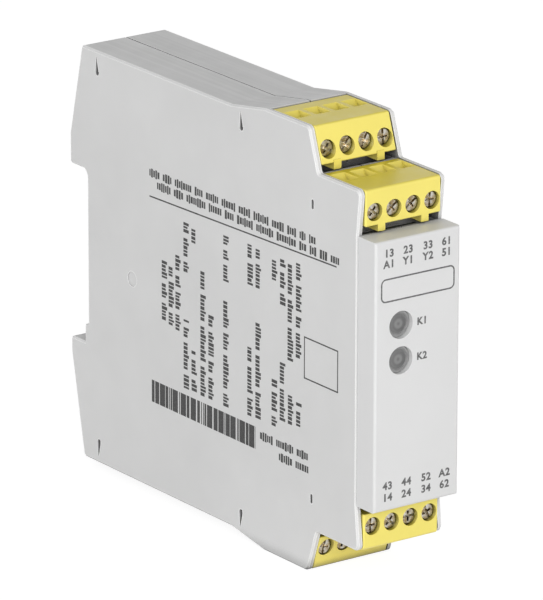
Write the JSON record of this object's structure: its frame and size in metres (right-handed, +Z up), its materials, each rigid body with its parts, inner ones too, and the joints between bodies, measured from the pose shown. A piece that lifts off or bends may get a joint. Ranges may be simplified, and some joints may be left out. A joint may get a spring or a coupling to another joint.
{
  "type": "safety relay",
  "caption": "Slim safety relay module for a 35 mm rail: grey half shells, front cover with lamp windows, yellow pull-off screw terminal plugs and a sprung rail foot.",
  "frame": {"origin": "middle of the rail's height, on the face that rests against the rail, half way across the module", "axes": "+X to the right of someone who looks at the front, +Y to the rail, +Z up"},
  "size_m": [0.0226, 0.114, 0.1],
  "materials": {
    "housing": "fine matt moulded",
    "cover": "smooth matt",
    "lens": "smoked, polished",
    "plug": "satin moulded",
    "screw": "zinc plated",
    "cage": "nickel plated",
    "contact": "tin plated",
    "header": "moulded",
    "board": "solder resist",
    "relay": "moulded cap",
    "capacitor": "sleeved can",
    "lamp": "tinted resin",
    "foot": "moulded",
    "spring": "drawn wire"
  },
  "bodies": {
    "module": {"housing_left": "housing", "housing_right": "housing", "front_cover": "cover", "light_guide": "lens", "main_board": "board", "capacitor": "capacitor", "lamp_k1": "lamp", "lamp_k2": "lamp", "relay_k1": "relay", "relay_k2": "relay", "foot_spring": "spring", "header_top_rear": "header", "header_top_front": "header", "header_bottom_front": "header", "header_bottom_rear": "header", "pins_top_rear": "contact", "pins_top_front": "contact", "pins_bottom_front": "contact", "pins_bottom_rear": "contact"},
    "foot": {"din_foot": "foot"},
    "plug_top_rear": {"plug_top_rear": "plug", "contacts_top_rear": "contact"},
    "screw_top_rear_1": {"screw_top_rear_1": "screw"},
    "cage_top_rear_1": {"cage_top_rear_1": "cage"},
    "screw_top_rear_2": {"screw_top_rear_2": "screw"},
    "cage_top_rear_2": {"cage_top_rear_2": "cage"},
    "screw_top_rear_3": {"screw_top_rear_3": "screw"},
    "cage_top_rear_3": {"cage_top_rear_3": "cage"},
    "screw_top_rear_4": {"screw_top_rear_4": "screw"},
    "cage_top_rear_4": {"cage_top_rear_4": "cage"},
    "plug_top_front": {"plug_top_front": "plug", "contacts_top_front": "contact"},
    "screw_top_front_1": {"screw_top_front_1": "screw"},
    "cage_top_front_1": {"cage_top_front_1": "cage"},
    "screw_top_front_2": {"screw_top_front_2": "screw"},
    "cage_top_front_2": {"cage_top_front_2": "cage"},
    "screw_top_front_3": {"screw_top_front_3": "screw"},
    "cage_top_front_3": {"cage_top_front_3": "cage"},
    "screw_top_front_4": {"screw_top_front_4": "screw"},
    "cage_top_front_4": {"cage_top_front_4": "cage"},
    "plug_bottom_front": {"plug_bottom_front": "plug", "contacts_bottom_front": "contact"},
    "screw_bottom_front_1": {"screw_bottom_front_1": "screw"},
    "cage_bottom_front_1": {"cage_bottom_front_1": "cage"},
    "screw_bottom_front_2": {"screw_bottom_front_2": "screw"},
    "cage_bottom_front_2": {"cage_bottom_front_2": "cage"},
    "screw_bottom_front_3": {"screw_bottom_front_3": "screw"},
    "cage_bottom_front_3": {"cage_bottom_front_3": "cage"},
    "screw_bottom_front_4": {"screw_bottom_front_4": "screw"},
    "cage_bottom_front_4": {"cage_bottom_front_4": "cage"},
    "plug_bottom_rear": {"plug_bottom_rear": "plug", "contacts_bottom_rear": "contact"},
    "screw_bottom_rear_1": {"screw_bottom_rear_1": "screw"},
    "cage_bottom_rear_1": {"cage_bottom_rear_1": "cage"},
    "screw_bottom_rear_2": {"screw_bottom_rear_2": "screw"},
    "cage_bottom_rear_2": {"cage_bottom_rear_2": "cage"},
    "screw_bottom_rear_3": {"screw_bottom_rear_3": "screw"},
    "cage_bottom_rear_3": {"cage_bottom_rear_3": "cage"},
    "screw_bottom_rear_4": {"screw_bottom_rear_4": "screw"},
    "cage_bottom_rear_4": {"cage_bottom_rear_4": "cage"}
  },
  "joints": [
    {"name": "foot_slide", "type": "slide", "parent": "module", "child": "foot", "axis": [0, 0, -1], "range_m": [0, 0.003], "stiffness_N_per_m": 1500, "springref_m": -0.001, "deforming": ["foot_spring"]},
    {"name": "plug_slide_top_rear", "type": "slide", "parent": "module", "child": "plug_top_rear", "axis": [0, -1, 0], "range_m": [0, 0.018]},
    {"name": "screw_turn_top_rear_1", "type": "hinge", "parent": "plug_top_rear", "child": "screw_top_rear_1", "pos_m": [-0.0075, -0.08527, 0.04315], "axis": [0, 1, 0], "range_deg": [0, 1440.1]},
    {"name": "cage_slide_top_rear_1", "type": "slide", "parent": "plug_top_rear", "child": "cage_top_rear_1", "axis": [0, -1, 0], "range_m": [0, 0.002]},
    {"name": "screw_turn_top_rear_2", "type": "hinge", "parent": "plug_top_rear", "child": "screw_top_rear_2", "pos_m": [-0.0025, -0.08527, 0.04315], "axis": [0, 1, 0], "range_deg": [0, 1440.1]},
    {"name": "cage_slide_top_rear_2", "type": "slide", "parent": "plug_top_rear", "child": "cage_top_rear_2", "axis": [0, -1, 0], "range_m": [0, 0.002]},
    {"name": "screw_turn_top_rear_3", "type": "hinge", "parent": "plug_top_rear", "child": "screw_top_rear_3", "pos_m": [0.0025, -0.08527, 0.04315], "axis": [0, 1, 0], "range_deg": [0, 1440.1]},
    {"name": "cage_slide_top_rear_3", "type": "slide", "parent": "plug_top_rear", "child": "cage_top_rear_3", "axis": [0, -1, 0], "range_m": [0, 0.002]},
    {"name": "screw_turn_top_rear_4", "type": "hinge", "parent": "plug_top_rear", "child": "screw_top_rear_4", "pos_m": [0.0075, -0.08527, 0.04315], "axis": [0, 1, 0], "range_deg": [0, 1440.1]},
    {"name": "cage_slide_top_rear_4", "type": "slide", "parent": "plug_top_rear", "child": "cage_top_rear_4", "axis": [0, -1, 0], "range_m": [0, 0.002]},
    {"name": "plug_slide_top_front", "type": "slide", "parent": "module", "child": "plug_top_front", "axis": [0, -1, 0], "range_m": [0, 0.018]},
    {"name": "screw_turn_top_front_1", "type": "hinge", "parent": "plug_top_front", "child": "screw_top_front_1", "pos_m": [-0.0075, -0.102, 0.03345], "axis": [0, 1, 0], "range_deg": [0, 1440.1]},
    {"name": "cage_slide_top_front_1", "type": "slide", "parent": "plug_top_front", "child": "cage_top_front_1", "axis": [0, -1, 0], "range_m": [0, 0.002]},
    {"name": "screw_turn_top_front_2", "type": "hinge", "parent": "plug_top_front", "child": "screw_top_front_2", "pos_m": [-0.0025, -0.102, 0.03345], "axis": [0, 1, 0], "range_deg": [0, 1440.1]},
    {"name": "cage_slide_top_front_2", "type": "slide", "parent": "plug_top_front", "child": "cage_top_front_2", "axis": [0, -1, 0], "range_m": [0, 0.002]},
    {"name": "screw_turn_top_front_3", "type": "hinge", "parent": "plug_top_front", "child": "screw_top_front_3", "pos_m": [0.0025, -0.102, 0.03345], "axis": [0, 1, 0], "range_deg": [0, 1440.1]},
    {"name": "cage_slide_top_front_3", "type": "slide", "parent": "plug_top_front", "child": "cage_top_front_3", "axis": [0, -1, 0], "range_m": [0, 0.002]},
    {"name": "screw_turn_top_front_4", "type": "hinge", "parent": "plug_top_front", "child": "screw_top_front_4", "pos_m": [0.0075, -0.102, 0.03345], "axis": [0, 1, 0], "range_deg": [0, 1440.1]},
    {"name": "cage_slide_top_front_4", "type": "slide", "parent": "plug_top_front", "child": "cage_top_front_4", "axis": [0, -1, 0], "range_m": [0, 0.002]},
    {"name": "plug_slide_bottom_front", "type": "slide", "parent": "module", "child": "plug_bottom_front", "axis": [0, -1, 0], "range_m": [0, 0.018]},
    {"name": "screw_turn_bottom_front_1", "type": "hinge", "parent": "plug_bottom_front", "child": "screw_bottom_front_1", "pos_m": [-0.0075, -0.102, -0.03665], "axis": [0, 1, 0], "range_deg": [0, 1440.1]},
    {"name": "cage_slide_bottom_front_1", "type": "slide", "parent": "plug_bottom_front", "child": "cage_bottom_front_1", "axis": [0, -1, 0], "range_m": [0, 0.002]},
    {"name": "screw_turn_bottom_front_2", "type": "hinge", "parent": "plug_bottom_front", "child": "screw_bottom_front_2", "pos_m": [-0.0025, -0.102, -0.03665], "axis": [0, 1, 0], "range_deg": [0, 1440.1]},
    {"name": "cage_slide_bottom_front_2", "type": "slide", "parent": "plug_bottom_front", "child": "cage_bottom_front_2", "axis": [0, -1, 0], "range_m": [0, 0.002]},
    {"name": "screw_turn_bottom_front_3", "type": "hinge", "parent": "plug_bottom_front", "child": "screw_bottom_front_3", "pos_m": [0.0025, -0.102, -0.03665], "axis": [0, 1, 0], "range_deg": [0, 1440.1]},
    {"name": "cage_slide_bottom_front_3", "type": "slide", "parent": "plug_bottom_front", "child": "cage_bottom_front_3", "axis": [0, -1, 0], "range_m": [0, 0.002]},
    {"name": "screw_turn_bottom_front_4", "type": "hinge", "parent": "plug_bottom_front", "child": "screw_bottom_front_4", "pos_m": [0.0075, -0.102, -0.03665], "axis": [0, 1, 0], "range_deg": [0, 1440.1]},
    {"name": "cage_slide_bottom_front_4", "type": "slide", "parent": "plug_bottom_front", "child": "cage_bottom_front_4", "axis": [0, -1, 0], "range_m": [0, 0.002]},
    {"name": "plug_slide_bottom_rear", "type": "slide", "parent": "module", "child": "plug_bottom_rear", "axis": [0, -1, 0], "range_m": [0, 0.018]},
    {"name": "screw_turn_bottom_rear_1", "type": "hinge", "parent": "plug_bottom_rear", "child": "screw_bottom_rear_1", "pos_m": [-0.0075, -0.08527, -0.04635], "axis": [0, 1, 0], "range_deg": [0, 1440.1]},
    {"name": "cage_slide_bottom_rear_1", "type": "slide", "parent": "plug_bottom_rear", "child": "cage_bottom_rear_1", "axis": [0, -1, 0], "range_m": [0, 0.002]},
    {"name": "screw_turn_bottom_rear_2", "type": "hinge", "parent": "plug_bottom_rear", "child": "screw_bottom_rear_2", "pos_m": [-0.0025, -0.08527, -0.04635], "axis": [0, 1, 0], "range_deg": [0, 1440.1]},
    {"name": "cage_slide_bottom_rear_2", "type": "slide", "parent": "plug_bottom_rear", "child": "cage_bottom_rear_2", "axis": [0, -1, 0], "range_m": [0, 0.002]},
    {"name": "screw_turn_bottom_rear_3", "type": "hinge", "parent": "plug_bottom_rear", "child": "screw_bottom_rear_3", "pos_m": [0.0025, -0.08527, -0.04635], "axis": [0, 1, 0], "range_deg": [0, 1440.1]},
    {"name": "cage_slide_bottom_rear_3", "type": "slide", "parent": "plug_bottom_rear", "child": "cage_bottom_rear_3", "axis": [0, -1, 0], "range_m": [0, 0.002]},
    {"name": "screw_turn_bottom_rear_4", "type": "hinge", "parent": "plug_bottom_rear", "child": "screw_bottom_rear_4", "pos_m": [0.0075, -0.08527, -0.04635], "axis": [0, 1, 0], "range_deg": [0, 1440.1]},
    {"name": "cage_slide_bottom_rear_4", "type": "slide", "parent": "plug_bottom_rear", "child": "cage_bottom_rear_4", "axis": [0, -1, 0], "range_m": [0, 0.002]}
  ],
  "couplings": [
    {"joint": "screw_turn_top_rear_1", "follows": "cage_slide_top_rear_1", "rad_per_m": 12566},
    {"joint": "screw_turn_top_rear_2", "follows": "cage_slide_top_rear_2", "rad_per_m": 12566},
    {"joint": "screw_turn_top_rear_3", "follows": "cage_slide_top_rear_3", "rad_per_m": 12566},
    {"joint": "screw_turn_top_rear_4", "follows": "cage_slide_top_rear_4", "rad_per_m": 12566},
    {"joint": "screw_turn_top_front_1", "follows": "cage_slide_top_front_1", "rad_per_m": 12566},
    {"joint": "screw_turn_top_front_2", "follows": "cage_slide_top_front_2", "rad_per_m": 12566},
    {"joint": "screw_turn_top_front_3", "follows": "cage_slide_top_front_3", "rad_per_m": 12566},
    {"joint": "screw_turn_top_front_4", "follows": "cage_slide_top_front_4", "rad_per_m": 12566},
    {"joint": "screw_turn_bottom_front_1", "follows": "cage_slide_bottom_front_1", "rad_per_m": 12566},
    {"joint": "screw_turn_bottom_front_2", "follows": "cage_slide_bottom_front_2", "rad_per_m": 12566},
    {"joint": "screw_turn_bottom_front_3", "follows": "cage_slide_bottom_front_3", "rad_per_m": 12566},
    {"joint": "screw_turn_bottom_front_4", "follows": "cage_slide_bottom_front_4", "rad_per_m": 12566},
    {"joint": "screw_turn_bottom_rear_1", "follows": "cage_slide_bottom_rear_1", "rad_per_m": 12566},
    {"joint": "screw_turn_bottom_rear_2", "follows": "cage_slide_bottom_rear_2", "rad_per_m": 12566},
    {"joint": "screw_turn_bottom_rear_3", "follows": "cage_slide_bottom_rear_3", "rad_per_m": 12566},
    {"joint": "screw_turn_bottom_rear_4", "follows": "cage_slide_bottom_rear_4", "rad_per_m": 12566}
  ]
}
